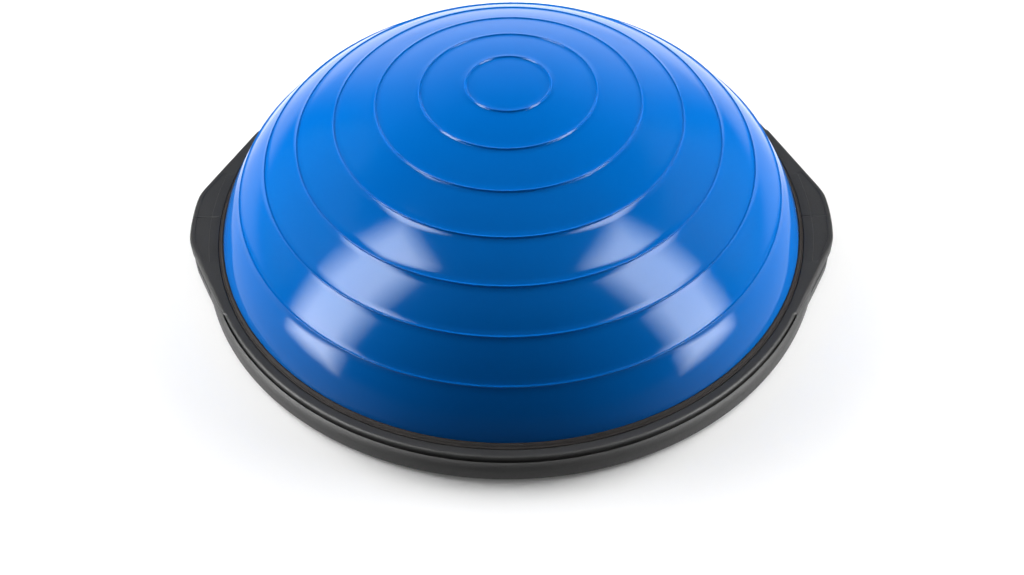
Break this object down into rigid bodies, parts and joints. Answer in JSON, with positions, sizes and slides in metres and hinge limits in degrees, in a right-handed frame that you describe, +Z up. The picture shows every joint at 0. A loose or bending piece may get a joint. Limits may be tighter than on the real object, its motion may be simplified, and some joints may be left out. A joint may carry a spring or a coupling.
{
  "type": "balance dome trainer",
  "caption": "Inflated ribbed half-dome clamped by a split rim to a round rigid platform with two handle ears, for standing balance exercise either way up.",
  "frame": {"origin": "on the floor under the middle of the dome, at the height of the feet's undersides", "axes": "+Z up along the dome's axis, +X through the right-hand handle ear, +Y away from the viewer"},
  "size_m": [0.635, 0.6038, 0.2011],
  "materials": {
    "dome_pvc": "glossy royal-blue PVC with moulded rings",
    "floor_pvc": "semi-gloss dark blue PVC sheet",
    "lip_rubber": "soft brownish-black gasket rubber",
    "rim_plastic": "satin black moulded plastic with fine grain",
    "platform_plastic": "satin black moulded plastic with fine grain",
    "foot_rubber": "matt dark grey non-slip rubber",
    "screw_steel": "zinc-plated steel",
    "valve_pvc": "pale translucent-looking PVC",
    "plug_plastic": "dark grey moulded plastic"
  },
  "bodies": {
    "base": {"platform": "platform_plastic", "rim_ring_front": "rim_plastic", "rim_ring_rear": "rim_plastic", "seal_lip": "lip_rubber", "bladder_floor": "floor_pvc", "valve_seat": "valve_pvc", "foot_1": "foot_rubber", "foot_2": "foot_rubber", "foot_3": "foot_rubber", "foot_4": "foot_rubber", "foot_5": "foot_rubber", "foot_6": "foot_rubber", "foot_7": "foot_rubber", "foot_8": "foot_rubber", "clamp_screw_1": "screw_steel", "clamp_screw_2": "screw_steel", "clamp_screw_3": "screw_steel", "clamp_screw_4": "screw_steel", "clamp_screw_5": "screw_steel", "clamp_screw_6": "screw_steel", "clamp_screw_7": "screw_steel", "clamp_screw_8": "screw_steel", "clamp_screw_9": "screw_steel", "clamp_screw_10": "screw_steel", "clamp_screw_11": "screw_steel", "clamp_screw_12": "screw_steel"},
    "dome": {"dome_skin": "dome_pvc"},
    "plug": {"valve_plug": "plug_plastic"}
  },
  "joints": [
    {"name": "dome_press", "type": "slide", "parent": "base", "child": "dome", "axis": [0, 0, -1], "range_m": [0, 0.045], "stiffness_N_per_m": 12000, "deforming": ["dome_skin"]},
    {"name": "valve_plug_slide", "type": "slide", "parent": "base", "child": "plug", "axis": [0, 0, -1], "range_m": [0, 0.02]}
  ]
}
